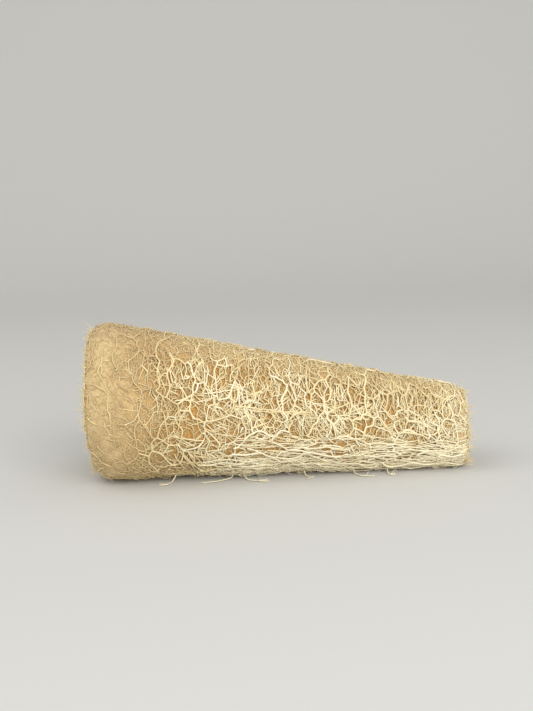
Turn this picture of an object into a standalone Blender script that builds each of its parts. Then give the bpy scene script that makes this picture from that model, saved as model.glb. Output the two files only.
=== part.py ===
"""A natural loofah sponge: the dried fibre skeleton of a luffa gourd, cut across at both ends.

Blender 4.5, metres, +Z up. The gourd lies along X on its underside, wide end at -X, and the origin
is under the middle of its bounding box. It grew as one piece, so it is one solid: a tapered body
with three seed channels from end to end, a raised net of fibres all over it, a fringe of cut fibres
at each end and a few pulled fibres that trail from it.
"""

import heapq
import math
import random

import bmesh
import bpy
import numpy as np
from mathutils import Matrix, Vector, noise

MM = 0.001

# The gourd's form
BODY_LENGTH = 172 * MM
WIDE_HEIGHT = 75.0 * MM
NARROW_HEIGHT = 37.5 * MM
DEPTH_SHARE = 0.93
UNDERSIDE_SINK = 1.6 * MM
WIDE_EDGE_ROUND = 12 * MM
NARROW_EDGE_ROUND = 6 * MM
EDGE_PULL = 0.8
LOBES = 3
LOBE_SHARE = 0.022
LOBE_TURN = math.radians(90)
SURFACE_ROLL = 1.5 * MM
ROLLS_PER_METRE = 34.0
RINGS = 44
SIDES = 48

# The three straight seed channels, one above and two below: at each one's wide and narrow end, how
# far its middle lies aside and up from the middle of what the body rests on, and its radius
CHANNELS = (
    ((0.0 * MM, 45.6 * MM, 12.4 * MM), (0.0 * MM, 25.5 * MM, 5.6 * MM)),
    ((-15.4 * MM, 22.3 * MM, 11.0 * MM), (-6.9 * MM, 12.9 * MM, 5.4 * MM)),
    ((15.4 * MM, 22.3 * MM, 11.0 * MM), (6.9 * MM, 12.9 * MM, 5.4 * MM)),
)
CHANNEL_SIDES = 14
CHANNEL_OVERRUN = 12 * MM

# The raised net: a cell's size along X and across it, zone by zone
GRAIN = 1.9 * MM
CROWN_CELL = (5.7 * MM, 8.7 * MM)
FLANK_CELL = (7.2 * MM, 7.2 * MM)
SEAM_CELL = (11.9 * MM, 4.9 * MM)
END_CELL = (5.1 * MM, 5.1 * MM)
CROWN_FROM = 0.66
SEAM_BELOW = 0.34
SEAM_START = 0.3
END_FACING = 0.75
TURN_COST = 0.55

# The fibre that rims each cell and the pit that it rims, shallower towards the narrow end
FIBRE_WIDTH = 1.3 * MM
PIT_DEPTH = 3.0 * MM
END_PIT_DEPTH = 2.4 * MM
NARROW_PIT_SHARE = 0.55
FOOT_HEIGHT = 1.1 * MM
FOOT_PLACE = Vector((-17 * MM, 0, 0))

# The cut fibres at each end: how far they stand out, how far back from the cut they leave the body,
# how deep they lie under its side as shares of half the section's height, and how much they lean
FRINGE_COUNT = 26
FRINGE_SPREAD = 0.3
FRINGE_LENGTH = (3.0 * MM, 5.0 * MM)
FRINGE_SET_BACK = (0.7 * MM, 3.4 * MM)
FRINGE_SET_IN = (0.06, 0.10)
FRINGE_LEAN = 0.5
FRINGE_RADII = (0.72 * MM, 0.38 * MM)
FRINGE_BARE_BELOW = -0.8

# The pulled fibres
FIBRE_ROOT = 5.0 * MM
STRAY_RADII = (0.66 * MM, 0.40 * MM)
STRAY_STEP_OUT = 0.4 * MM
STRAY_LIFT = 1.3 * MM
WELD = 0.01 * MM
SEED = 11

# Each pulled fibre: its root as a share of the length and an angle round the body in degrees, then
# how far its points lie from the root along X, away from the middle and up, in millimetres
STRAYS = (
    (0.37, -118, ((-3, 3, -3), (-8, 6, -6), (-14, 7, -8))),
    (0.40, -122, ((2, 3, -2), (6, 5, -5), (11, 6, -6))),
    (0.56, -120, ((1, 3, -2), (3, 5, -4), (1, 8, -6))),
    (0.69, -124, ((2, 3, -2), (4, 5, -4), (9, 6, -4))),
    (0.78, -126, ((0, 3, -1), (1, 5, -3), (3, 6, -4))),
    (0.22, -120, ((-2, 3, -3), (-3, 5, -6), (-7, 7, -8))),
    (0.45, -58, ((-3, 3, -2), (-5, 5, -4), (-9, 6, -6))),
    (0.72, -55, ((2, 3, -1), (5, 4, -3), (8, 6, -4))),
)


def clear_scene():
    for obj in list(bpy.data.objects):
        bpy.data.objects.remove(obj, do_unlink=True)


def new_collection(name):
    collection = bpy.data.collections.new(name)
    bpy.context.scene.collection.children.link(collection)
    return collection


def mesh_object(name, bm, collection):
    mesh = bpy.data.meshes.new(name)
    bm.to_mesh(mesh)
    bm.free()
    obj = bpy.data.objects.new(name, mesh)
    collection.objects.link(obj)
    return obj


def evaluated_mesh(obj):
    graph = bpy.context.evaluated_depsgraph_get()
    return bpy.data.meshes.new_from_object(obj.evaluated_get(graph))


def apply_modifiers(obj):
    mesh = evaluated_mesh(obj)
    obj.modifiers.clear()
    obj.data = mesh


def half_height(share):
    """Half the section's height at a share of the length, before its ends are rounded."""
    return (WIDE_HEIGHT + (NARROW_HEIGHT - WIDE_HEIGHT) * share) / 2


def share_at(x):
    """The share of the length that an X stands for."""
    return x / BODY_LENGTH + 0.5


def round_way(angle):
    """The way out of the body's side, square to its length. Angle 0 faces +Y, 90 degrees up."""
    return Vector((0, math.cos(angle), math.sin(angle)))


def edge_loss(distance, reach):
    """How far a rounded end draws the section in, at a distance from the cut."""
    distance = min(max(distance, 0.0), reach)
    return EDGE_PULL * reach * (1 - math.sqrt(1 - (1 - distance / reach) ** 2))


def surface_point(share, angle):
    """A point of the body's side, lobed over the seed channels and flattened where it rests."""
    half = half_height(share)
    along = share * BODY_LENGTH
    loss = edge_loss(along, WIDE_EDGE_ROUND) + edge_loss(BODY_LENGTH - along, NARROW_EDGE_ROUND)
    place = Vector((along * ROLLS_PER_METRE, math.cos(angle), math.sin(angle)))
    roll = SURFACE_ROLL * noise.noise(place) * half / half_height(0)
    radius = (half - loss) * (1 + LOBE_SHARE * math.cos(LOBES * angle + LOBE_TURN)) + roll
    y = radius * DEPTH_SHARE * math.cos(angle)
    z = half - UNDERSIDE_SINK + radius * math.sin(angle)
    return Vector((along - BODY_LENGTH / 2, y, max(z, 0.0)))


def body_object(collection):
    """The gourd's tapered form: a cylinder cut into rings, each set to its section."""
    bm = bmesh.new()
    bmesh.ops.create_cone(
        bm,
        cap_ends=True,
        segments=SIDES,
        radius1=1.0,
        radius2=1.0,
        depth=1.0,
        matrix=Matrix.Rotation(math.radians(90), 4, "Y"),
    )
    lengthwise = [e for e in bm.edges if abs(e.verts[0].co.x - e.verts[1].co.x) > 0.5]
    bmesh.ops.subdivide_edges(bm, edges=lengthwise, cuts=RINGS - 1, use_grid_fill=True)
    for vert in bm.verts:
        angle = math.atan2(vert.co.z, vert.co.y)
        vert.co = surface_point(vert.co.x + 0.5, angle)
    bmesh.ops.recalc_face_normals(bm, faces=bm.faces)
    return mesh_object("loofah", bm, collection)


def channel_at(share, number):
    """The middle of a seed channel at a share of the length, and its radius there."""
    wide, narrow = CHANNELS[number]
    aside, up, radius = (start + (end - start) * share for start, end in zip(wide, narrow))
    return Vector(((share - 0.5) * BODY_LENGTH, aside, up)), radius


def channel_cutter(number, collection):
    """A seed channel as a tapered rod that runs past both cuts."""
    over = CHANNEL_OVERRUN / BODY_LENGTH
    start, start_radius = channel_at(-over, number)
    end, end_radius = channel_at(1 + over, number)
    run = end - start
    turn = run.to_track_quat("Z", "Y").to_matrix().to_4x4()
    bm = bmesh.new()
    bmesh.ops.create_cone(
        bm,
        cap_ends=True,
        segments=CHANNEL_SIDES,
        radius1=start_radius,
        radius2=end_radius,
        depth=run.length,
        matrix=Matrix.Translation((start + end) / 2) @ turn,
    )
    obj = mesh_object(f"channel_cutter_{number}", bm, collection)
    obj.hide_render = True
    obj.display_type = "WIRE"
    return obj


def cut_channels(body, cutters):
    """Opens the seed channels from end to end."""
    for number in range(len(CHANNELS)):
        cut = body.modifiers.new(f"channel_{number}", "BOOLEAN")
        cut.operation = "DIFFERENCE"
        cut.solver = "EXACT"
        cut.object = channel_cutter(number, cutters)
    apply_modifiers(body)


def even_grain(body):
    """Remeshes the body to small faces of one size, for the net to be grown over."""
    even = body.modifiers.new("even_grain", "REMESH")
    even.mode = "VOXEL"
    even.voxel_size = GRAIN
    apply_modifiers(body)


def zone_cell(centre, normal):
    """The size of a net cell at a point: along X, and across it."""
    if abs(normal.x) > END_FACING:
        return END_CELL
    share = share_at(centre.x)
    height = centre.z / (2 * half_height(share))
    if height > CROWN_FROM:
        return CROWN_CELL
    if height < SEAM_BELOW and share > SEAM_START:
        return SEAM_CELL
    return FLANK_CELL


def spread_seeds(centres, normals, cells):
    """Face numbers no nearer to each other than one cell, taken in a seeded random order."""
    order = list(range(len(centres)))
    random.Random(SEED).shuffle(order)
    kept = []
    places = np.empty((len(centres), 3))
    facings = np.empty((len(centres), 3))
    for face in order:
        found = len(kept)
        if found:
            step = places[:found] - centres[face]
            across = np.hypot(step[:, 1], step[:, 2])
            apart = np.hypot(step[:, 0] / cells[face][0], across / cells[face][1])
            apart += TURN_COST * (1 - facings[:found] @ normals[face])
            if apart.min() < 1.0:
                continue
        places[found] = centres[face]
        facings[found] = normals[face]
        kept.append(face)
    return kept


def steps_apart(step, cell, turn):
    """How many cells apart two near faces are, with a charge for the surface turning between."""
    across = math.hypot(step.y, step.z)
    return math.hypot(step.x / cell[0], across / cell[1]) + TURN_COST * turn


def grow_cells(bm, seeds, cells):
    """The number of the nearest seed for each face, by the shortest way over the surface."""
    owner = [-1] * len(bm.faces)
    middles = [f.calc_center_median() for f in bm.faces]
    queue = [(0.0, face, number) for number, face in enumerate(seeds)]
    while queue:
        far, face, number = heapq.heappop(queue)
        if owner[face] >= 0:
            continue
        owner[face] = number
        here = bm.faces[face]
        for edge in here.edges:
            for other in edge.link_faces:
                if owner[other.index] < 0:
                    step = middles[other.index] - middles[face]
                    turn = 1 - here.normal.dot(other.normal)
                    more = steps_apart(step, cells[face], turn)
                    heapq.heappush(queue, (far + more, other.index, number))
    return owner


def join_thin_cells(bm, owner):
    """A cell that meets fewer than three corners joins the cell that it borders most."""
    while True:
        corners = {}
        for vert in bm.verts:
            around = {owner[f.index] for f in vert.link_faces}
            if len(around) >= 3:
                for number in around:
                    corners[number] = corners.get(number, 0) + 1
        thin = {number for number in set(owner) if corners.get(number, 0) < 3}
        if not thin:
            return
        number = min(thin)
        border = {}
        for edge in bm.edges:
            pair = [owner[f.index] for f in edge.link_faces]
            if pair[0] != pair[1] and number in pair:
                other = pair[0] + pair[1] - number
                border[other] = border.get(other, 0) + 1
        target = max(sorted(border), key=border.get)
        owner[:] = [target if held == number else held for held in owner]


def raise_net(body):
    """The body's surface parted into cells, each rimmed by half a fibre and sunk to a pit."""
    bm = bmesh.new()
    bm.from_mesh(body.data)
    bm.normal_update()
    bm.faces.ensure_lookup_table()
    bm.faces.index_update()
    middles = [f.calc_center_median() for f in bm.faces]
    cells = [zone_cell(m, f.normal) for m, f in zip(middles, bm.faces)]
    centres = np.array([m[:] for m in middles])
    normals = np.array([f.normal[:] for f in bm.faces])
    seeds = spread_seeds(centres, normals, cells)
    owner = grow_cells(bm, seeds, cells)
    join_thin_cells(bm, owner)
    inner = [e for e in bm.edges if len({owner[f.index] for f in e.link_faces}) == 1]
    bmesh.ops.dissolve_edges(bm, edges=inner, use_verts=True)
    spare = [v for v in bm.verts if len(v.link_edges) == 2]
    bmesh.ops.dissolve_verts(bm, verts=spare)
    for vert in bm.verts:
        if vert.co.z < FOOT_HEIGHT:
            vert.co.z = 0.0
    bm.normal_update()
    sink_cells(bm)
    for vert in bm.verts:
        vert.co.z = max(vert.co.z, 0.0)
    bmesh.ops.triangulate(bm, faces=bm.faces)
    bm.to_mesh(body.data)
    bm.free()


def sink_cells(bm):
    """Each cell gets its rim and its pit, apart from the foot: a flat cell under the weight."""
    flat = [f for f in bm.faces if all(v.co.z == 0.0 for v in f.verts)]
    foot = min(flat, key=lambda f: (f.calc_center_median() - FOOT_PLACE).length)
    pits = []
    for face in bm.faces:
        if face is foot:
            continue
        middle = face.calc_center_median()
        depth = END_PIT_DEPTH if abs(face.normal.x) > END_FACING else PIT_DEPTH
        narrowing = half_height(share_at(middle.x)) / half_height(0)
        pits.append((face, depth * (NARROW_PIT_SHARE + (1 - NARROW_PIT_SHARE) * narrowing)))
    faces = [face for face, _ in pits]
    bmesh.ops.inset_individual(bm, faces=faces, thickness=FIBRE_WIDTH / 2, use_even_offset=False)
    for face, depth in pits:
        bmesh.ops.poke(bm, faces=[face], offset=-depth, center_mode="MEAN")


def curve_fibre(name, points, radii, collection):
    """A fibre as a thin bevelled curve, made a mesh with its caps welded on."""
    curve = bpy.data.curves.new(name, "CURVE")
    curve.dimensions = "3D"
    curve.bevel_depth = 1.0
    curve.bevel_resolution = 0
    curve.use_fill_caps = True
    spline = curve.splines.new("POLY")
    spline.points.add(len(points) - 1)
    for number, (point, place) in enumerate(zip(spline.points, points)):
        point.co = (*place, 1.0)
        point.radius = radii[0] + (radii[1] - radii[0]) * number / (len(points) - 1)
    guide = bpy.data.objects.new(name, curve)
    collection.objects.link(guide)
    mesh = evaluated_mesh(guide)
    bpy.data.objects.remove(guide, do_unlink=True)
    bm = bmesh.new()
    bm.from_mesh(mesh)
    bmesh.ops.remove_doubles(bm, verts=bm.verts, dist=WELD)
    bmesh.ops.recalc_face_normals(bm, faces=bm.faces)
    return mesh_object(name, bm, collection)


def add_fringe(collection):
    """Cut fibres that stand out of each end's rim, each one sunk well in at its root."""
    draw = random.Random(SEED + 1)
    for way in (-1, 1):
        for number in range(FRINGE_COUNT):
            turn = number + draw.uniform(-FRINGE_SPREAD, FRINGE_SPREAD)
            angle = turn * math.tau / FRINGE_COUNT
            out = round_way(angle)
            if out.z < FRINGE_BARE_BELOW:
                continue
            set_back = draw.uniform(*FRINGE_SET_BACK) / BODY_LENGTH
            end = (1 + way) / 2
            set_in = draw.uniform(*FRINGE_SET_IN) * half_height(end)
            rim = surface_point(end - way * set_back, angle) - out * set_in
            along = Vector((way, 0, 0))
            run = (along + out * draw.uniform(0, FRINGE_LEAN)).normalized()
            points = (rim - along * FIBRE_ROOT, rim, rim + run * draw.uniform(*FRINGE_LENGTH))
            curve_fibre(f"fringe_{way}_{number}", points, FRINGE_RADII, collection)


def add_strays(collection):
    """Pulled fibres that trail from the body's lower sides, clear of what it rests on."""
    for number, (share, degrees, steps) in enumerate(STRAYS):
        angle = math.radians(degrees)
        out = round_way(angle)
        start = surface_point(share, angle)
        side = math.copysign(1.0, start.y)
        points = [start - out * FIBRE_ROOT, start + out * STRAY_STEP_OUT]
        for along, aside, up in steps:
            place = start + Vector((along, side * aside, up)) * MM
            place.z = max(place.z, STRAY_LIFT)
            points.append(place)
        curve_fibre(f"stray_{number}", points, STRAY_RADII, collection)


def drop_scraps(body):
    """Deletes all but the largest connected piece of the mesh."""
    bm = bmesh.new()
    bm.from_mesh(body.data)
    pieces = []
    waiting = set(bm.verts)
    while waiting:
        piece = set()
        reached = [waiting.pop()]
        while reached:
            vert = reached.pop()
            piece.add(vert)
            found = {e.other_vert(vert) for e in vert.link_edges} & waiting
            waiting -= found
            reached.extend(found)
        pieces.append(piece)
    pieces.sort(key=len)
    scraps = [vert for piece in pieces[:-1] for vert in piece]
    bmesh.ops.delete(bm, geom=scraps, context="VERTS")
    bm.to_mesh(body.data)
    bm.free()


def fuse(body, collection):
    """One union of the body with all that grows from it."""
    join = body.modifiers.new("fuse", "BOOLEAN")
    join.operation = "UNION"
    join.solver = "EXACT"
    join.operand_type = "COLLECTION"
    join.collection = collection
    apply_modifiers(body)
    for obj in list(collection.objects):
        bpy.data.objects.remove(obj, do_unlink=True)


def centre_on_floor(body):
    """Sets the origin under the middle of the bounding box."""
    places = [v.co for v in body.data.vertices]
    low = Vector(min(p[k] for p in places) for k in range(3))
    high = Vector(max(p[k] for p in places) for k in range(3))
    middle = (low + high) / 2
    body.data.transform(Matrix.Translation((-middle.x, -middle.y, -low.z)))


def dried_fibre():
    """Dried luffa fibre: straw-coloured, with a dull waxy sheen."""
    material = bpy.data.materials.new("dried_luffa_fibre")
    material.use_nodes = True
    shader = material.node_tree.nodes["Principled BSDF"]
    shader.inputs["Base Color"].default_value = (0.62, 0.46, 0.23, 1)
    shader.inputs["Roughness"].default_value = 0.62
    shader.inputs["Metallic"].default_value = 0.0
    return material


def main():
    clear_scene()
    parts = new_collection("loofah_sponge")
    cutters = new_collection("cutters")
    fibres = new_collection("fibres")
    body = body_object(parts)
    even_grain(body)
    raise_net(body)
    cut_channels(body, cutters)
    add_fringe(fibres)
    add_strays(fibres)
    fuse(body, fibres)
    drop_scraps(body)
    centre_on_floor(body)
    body.data.materials.clear()
    body.data.materials.append(dried_fibre())


main()
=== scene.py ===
"""A dried natural loofah sponge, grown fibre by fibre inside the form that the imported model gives.

The gourd lies along X with its wide cut at -X. Felted fine fibre fills it, open along the three seed
channels. Three layers of net and a tangle of loose fibres lie over the felt, looser nets line the
channels, flat nets cover both cuts, and the ends of cut and pulled fibres stand out.
"""

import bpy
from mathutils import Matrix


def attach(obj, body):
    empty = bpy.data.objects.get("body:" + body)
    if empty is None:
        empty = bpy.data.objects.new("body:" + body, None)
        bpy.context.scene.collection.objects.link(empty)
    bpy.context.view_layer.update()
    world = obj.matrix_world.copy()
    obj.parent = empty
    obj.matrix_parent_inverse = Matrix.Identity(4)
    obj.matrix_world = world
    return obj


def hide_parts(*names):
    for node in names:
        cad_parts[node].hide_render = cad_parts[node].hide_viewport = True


bl_info = {
    "name": "Natural loofah sponge",
    "version": (1, 0, 0),
    "blender": (4, 5, 0),
    "location": "3D View > Sidebar > Loofah",
    "description": "Grows the fibres of a dried loofah sponge and sets its stage",
    "category": "Add Mesh",
}

import math
from collections import namedtuple
from itertools import combinations

import bmesh
import bpy
import numpy as np
from bpy.props import FloatProperty, FloatVectorProperty, PointerProperty
from mathutils import Quaternion, Vector, noise

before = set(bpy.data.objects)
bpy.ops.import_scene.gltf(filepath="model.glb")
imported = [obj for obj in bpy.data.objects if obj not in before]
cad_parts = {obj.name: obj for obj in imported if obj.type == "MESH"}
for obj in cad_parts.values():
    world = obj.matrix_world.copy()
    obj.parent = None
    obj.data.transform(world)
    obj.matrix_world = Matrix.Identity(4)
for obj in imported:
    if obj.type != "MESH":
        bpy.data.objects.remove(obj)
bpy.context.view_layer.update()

MM = 0.001
BODY = "root"
NODE = "loofah"

# The gourd's form, as its solid has it
BODY_LENGTH = 172 * MM
HALF_LENGTH = BODY_LENGTH / 2
WIDE_HEIGHT = 75.0 * MM
NARROW_HEIGHT = 37.5 * MM
DEPTH_SHARE = 0.93
UNDERSIDE_SINK = 1.6 * MM
WIDE_EDGE_ROUND = 12 * MM
NARROW_EDGE_ROUND = 6 * MM
EDGE_PULL = 0.8
LOBES = 3
LOBE_SHARE = 0.022
SURFACE_ROLL = 1.5 * MM
ROLLS_PER_METRE = 34.0
LOBE_TURN = math.radians(90)

# Each seed channel's place aside, its height and its radius at the wide cut and at the narrow one
CHANNELS = (
    ((0.0 * MM, 45.6 * MM, 12.4 * MM), (0.0 * MM, 25.5 * MM, 5.6 * MM)),
    ((-15.4 * MM, 22.3 * MM, 11.0 * MM), (-6.9 * MM, 12.9 * MM, 5.4 * MM)),
    ((15.4 * MM, 22.3 * MM, 11.0 * MM), (6.9 * MM, 12.9 * MM, 5.4 * MM)),
)

# The solid stands centred on its bounding box, which its cut fibres make lopsided by this much
BODY_SHIFT = np.array((0.372, -0.340, 0.0)) * MM

# How finely the skin's radius is tabled, along the gourd and round it, and the last share it gives
SKIN_RINGS = 173
SKIN_TURNS = 120
LAST_SHARE = 0.99999

# How a net is drawn: trial places for the mean cell, throws of a seed for each cell, how near seeds
# may lie, and the small squares that are shared out between them
TRIALS = 400
THROWS = 14
SEED_GAP = 0.78
SQUARE = 0.45 * MM
FEWEST_SQUARES = 8
CELL_REACH = 2.0
CELL_SPREAD = 0.32

# The corners and the turn of a sheet that runs past both cuts and closes round the gourd
OVERRUN = 8 * MM
ALL_ROUND = ((-HALF_LENGTH - OVERRUN, 0.0), (HALF_LENGTH + OVERRUN, math.tau), math.tau)

# How straight two edges must meet to be one strand, how far its knots are thickened, the limits of
# its thickness, and how that and its tone vary
STRAIGHT = -0.25
FLARE_REACH = 0.9 * MM
SPREAD_LIMITS = (-1.5, 1.3)
WAVER = (0.9, 1.1)
TONE_SPREAD = 0.16
TONES = 5

# The seeds of the random draws, apart from those of the outer nets
TANGLE_SEED = 41
CHANNEL_SEED = 51
RIB_SEED = 61
CUT_SEED = 71
FRINGE_SEED = 81

CUT_RAGGED = 0.6 * MM
SKIN_OVERSHOOT = MM
FLOOR_GAP = 0.3 * MM
WELD = 0.002 * MM

# Where looks change, as the start and end of a share of the length, or of a height in the section
# that runs from -1 at the foot to 1 at the crown
DULL_WIDE_END = (0.10, 0.34)
PALE_NARROW_END = (0.80, 0.96)
# The crown's zone, where the strands' tone is darkened as painted shade
PAINTED_SHADE_CROWN = (0.5, 0.95)
CLOSE_WIDE_END = (0.04, 0.26)
CLOSE_NARROW_END = (0.90, 0.99)
CLOSE_CROWN = (0.74, 0.98)
CLOSE_FOOT = (0.66, 0.86)
LOW_SIDE_TOP = (0.02, 0.35)
LOW_SIDE_FOOT = (0.80, 0.97)
LOW_SIDE_START = (0.28, 0.46)
LONG_CROWN = (0.25, 0.65)
FLANK_START = (0.02, 0.12)
FLANK_END = (0.24, 0.42)

# A strand's tone, from 0 for dull to 1 for pale: the plain one, and how much each zone changes it. The
# crown is made duller as painted shade and the low sides paler as a painted highlight.
PLAIN_TONE = 0.6
LOW_SIDE_PAINTED_LIGHT = 0.28
WIDE_END_DULLER = 0.52
NARROW_END_PALER = 0.16
CROWN_PAINTED_SHADE = 0.28

# How close the fine fibre lies at most in each zone, where the wide end's is 1
NARROW_END_CLOSE = 0.7
CROWN_CLOSE = 0.75
FOOT_CLOSE = 0.85

# The outer net's cells in millimetres, along the gourd and round it
PLAIN_CELL = (4.3, 5.0)
FLANK_MORE = (2.6, 4.4)
CROWN_CELL = (3.4, 8.0)
LOW_SIDE_CELL = (12.0, 3.4)

# How much duller a net is made for each millimetre that it is sunk, as painted shade, and thinner
# where fibre lies close
SUNK_PAINTED_SHADE = 0.35
CLOSE_THINNER = 0.4

# The nets inside: cells, and how far each layer lies behind a channel's wall or a cut
CHANNEL_CELL = (6.5 * MM, 2.5 * MM)
CHANNEL_LAYERS = (0.25 * MM, 0.55 * MM)
CUT_CELL = 2.4 * MM
CUT_LAYERS = (0.25 * MM, 0.6 * MM, 0.95 * MM)
LATER_THINNER = 0.8

# How deep a fibre counts as deepest, and how deep the cuts and the channels' walls look, for the
# painted shade that darkens deep fibre
DEEPEST = 9 * MM
CUT_SHADE = 1.0 * MM
CHANNEL_SHADE = 3.0 * MM

# The felt of finest fibres behind the nets: where it lies below the skin, and how far behind the cuts
FELT_SUNK = 2.1 * MM
FELT_NEAR = 0.75 * MM
FELT_BEHIND_CUT = 1.3 * MM
FELT_RELIEF = 0.14 * MM
FELT_GRAIN = 1.7 * MM
FELT_RINGS = 230
FELT_TURNS = 230
FELT_CAP = 0.12
CHANNEL_LINING = 0.8 * MM
FELT_WELD = 20 * WELD
CHANNEL_ROUNDER = 12

# A loose fibre: its knots, its bend, how its ends dip, and how much of it is left out in each zone
FIBRE_KNOTS = 4
FIBRE_BEND = 0.35
BOW_MIDDLE = 0.08
DIP = 0.9 * MM
END_DIP = 4
TANGLE_SPARES_CLOSE = 0.75
HAIRS_SPARE_CLOSE = 0.35
HAIRS_SPARE_LOW = 0.4

# How often loose fibres lie along the low sides and across the crown, and how far they lean
LENGTHWISE_CHANCE = 0.82
LENGTHWISE_LEAN = 0.16
CROSSWISE_FROM = 0.55
CROSSWISE_CHANCE = 0.7
CROSSWISE_LEAN = 0.3
LONG_LEAN = 0.05

# The rib's lines side by side, with lengths along the gourd in millimetres
RIB_ANGLE = math.radians(166)
RIB_LINES = 4
RIB_KNOTS = 9
RIB_SPAN = (-21, 16)
RIB_SHIFT = 1.2
RIB_APART = 0.016
RIB_WANDER = 0.014
RIB_DEPTH = 0.1 * MM
RIB_END_DIP = 6
RIB_TONE = 0.45

# The fibres that leave the rib, with lengths in millimetres
LEAVING = 44
LEAVING_SPAN = (-24, 20)
LEAVING_REACH = (3, 9)
LEAVING_LEAN = 0.5
LEAVING_ALONG = 0.6
LEAVING_CURVE = 1.3
LEAVING_DIP = 3
LEAVING_THICKNESS = (0.6, 0.9)
LEAVING_TONE = 0.6

# The cut ends: how many, how many of those at the rim, and how deep they root, in millimetres there
# and as a share of the section elsewhere
FRINGE_ENDS = 760
RIM_CHANCE = 0.6
RIM_DEPTH = (0.1, 2.5)
FACE_DEPTH = (0.05, 0.9)
FRINGE_ROOT = 2 * MM
FRINGE_CLEARANCE = 0.5 * MM

# How far the cut ends reach in millimetres, how few are long, how they lean out, stray and bow
FRINGE_LEAST = 1.4
FRINGE_MORE = 2.2
FRINGE_FEW_LONG = 1.6
FRINGE_OUTWARDS = (0.12, 0.35)
FRINGE_STRAY = 0.35
FRINGE_BOW = 0.4
FRINGE_MIDDLE = 0.55
FRINGE_TIP_BOW = 2.2
FRINGE_TONE = 0.25

# The broken ends on the skin, with reaches in millimetres and their rise as a share of the reach
FUZZ_ENDS = 1500
FUZZ_FROM_CUTS = (2 * MM, MM)
FUZZ_REACH = (1.2, 3.4)
FUZZ_RISE = (0.15, 0.55)
FUZZ_ROOT = 0.6 * MM
FUZZ_OUT = 0.5 * MM
FUZZ_MIDDLE_RISE = 0.6

# Thickness at the root and at the tip, as shares of a loose fibre's
FRINGE_TAPER = (0.9, 0.55)
FUZZ_TAPER = (0.8, 0.55)

# The pulled fibres that trail from the low sides: where each leaves the skin, along the gourd as a
# share and round it in degrees, and its later steps along, outwards and up in millimetres
STRAYS = (
    (0.37, -118, ((-3, 3, -3), (-8, 6, -6), (-14, 7, -8))),
    (0.40, -122, ((2, 3, -2), (6, 5, -5), (11, 6, -6))),
    (0.56, -120, ((1, 3, -2), (3, 5, -4), (1, 8, -6))),
    (0.69, -124, ((2, 3, -2), (4, 5, -4), (9, 6, -4))),
    (0.78, -126, ((0, 3, -1), (1, 5, -3), (3, 6, -4))),
    (0.22, -120, ((-2, 3, -3), (-3, 5, -6), (-7, 7, -8))),
    (0.45, -58, ((-3, 3, -2), (-5, 5, -4), (-9, 6, -6))),
    (0.72, -55, ((2, 3, -1), (5, 4, -3), (8, 6, -4))),
)
STRAY_ROOT = 4 * MM
STRAY_LIFT = 0.7 * MM
STRAY_THICKER = 1.15
FORK_TINES = 2
FORK_REACH = 0.7
FORK_SPREAD = 2.2
FORK_BEND = 0.6
FORK_THINNER = 0.8

# The loose strand on the crown: its turn round the gourd, and places along it and below the skin in
# millimetres
CROWN_STRAY_ANGLE = math.radians(100)
CROWN_STRAY = ((13, 0.6), (14, -0.9), (19, -1.1), (25, -0.8))
CROWN_STRAY_TONE = 0.75

# The photograph's view
AIM = Vector((-4.7 * MM, 0.0, 54 * MM))
CAMERA_BACK = 455 * MM
CAMERA_TILT = math.radians(10)
CAMERA_ROLL = math.radians(-2.0)
LENS = 50.0

# The backdrop: a floor that curves up into a wall behind
SWEEP_WIDE = 5.0
SWEEP_STEPS = 64
FLOOR_FRONT = -2.0
FLOOR_BACK = 0.7
SWEEP_ROUND = 0.6
WALL_HIGH = 2.0

# Where the lights look, and how strong the air's own light is
LIT_PLACE = Vector((0, 0, 0.03))
AIR_STRENGTH = 0.85

# The numbered sockets of a colour mix
MIX_A = 6
MIX_B = 7
MIX_RESULT = 2

Sheet = namedtuple("Sheet", "low high turn width place")
Weave = namedtuple("Weave", "radius spread drop wobble rough bulge flare step")
Strand = namedtuple("Strand", "places radii tone")
Layer = namedtuple("Layer", "name seed scale least radius sunk drop rounder")
Fibres = namedtuple("Fibres", "names count weave reach deep way_at want_at tone_shift rounder")
Lamp = namedtuple("Lamp", "name place size power")

LAMPS = (
    Lamp(name="key_light", place=(0.45, -1.0, 0.60), size=0.9, power=10.5),
    Lamp(name="fill_light", place=(-0.8, -0.4, 0.9), size=1.0, power=4.0),
)


def half_height(share):
    """Half the section's height at a share of the length, before its ends are rounded."""
    return (WIDE_HEIGHT + (NARROW_HEIGHT - WIDE_HEIGHT) * share) / 2


def share_at(x):
    return x / BODY_LENGTH + 0.5


def edge_loss(distance, reach):
    """How far a rounded end draws the section in, at a distance from the cut."""
    distance = min(max(distance, 0.0), reach)
    return EDGE_PULL * reach * (1 - math.sqrt(1 - (1 - distance / reach) ** 2))


def skin_radius_at(share, angle):
    """The skin's distance from the axis, lobed over the channels and flattened where it rests."""
    half = half_height(share)
    along = share * BODY_LENGTH
    loss = edge_loss(along, WIDE_EDGE_ROUND) + edge_loss(BODY_LENGTH - along, NARROW_EDGE_ROUND)
    place = Vector((along * ROLLS_PER_METRE, math.cos(angle), math.sin(angle)))
    roll = SURFACE_ROLL * noise.noise(place) * half / half_height(0)
    radius = (half - loss) * (1 + LOBE_SHARE * math.cos(LOBES * angle + LOBE_TURN)) + roll
    if math.sin(angle) < 0:
        radius = min(radius, (half - UNDERSIDE_SINK) / -math.sin(angle))
    return radius


def skin_table():
    rings = [ring / (SKIN_RINGS - 1) for ring in range(SKIN_RINGS)]
    turns = [turn * math.tau / SKIN_TURNS for turn in range(SKIN_TURNS)]
    return np.array([[skin_radius_at(share, angle) for angle in turns] for share in rings])


SKIN = skin_table()


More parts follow.
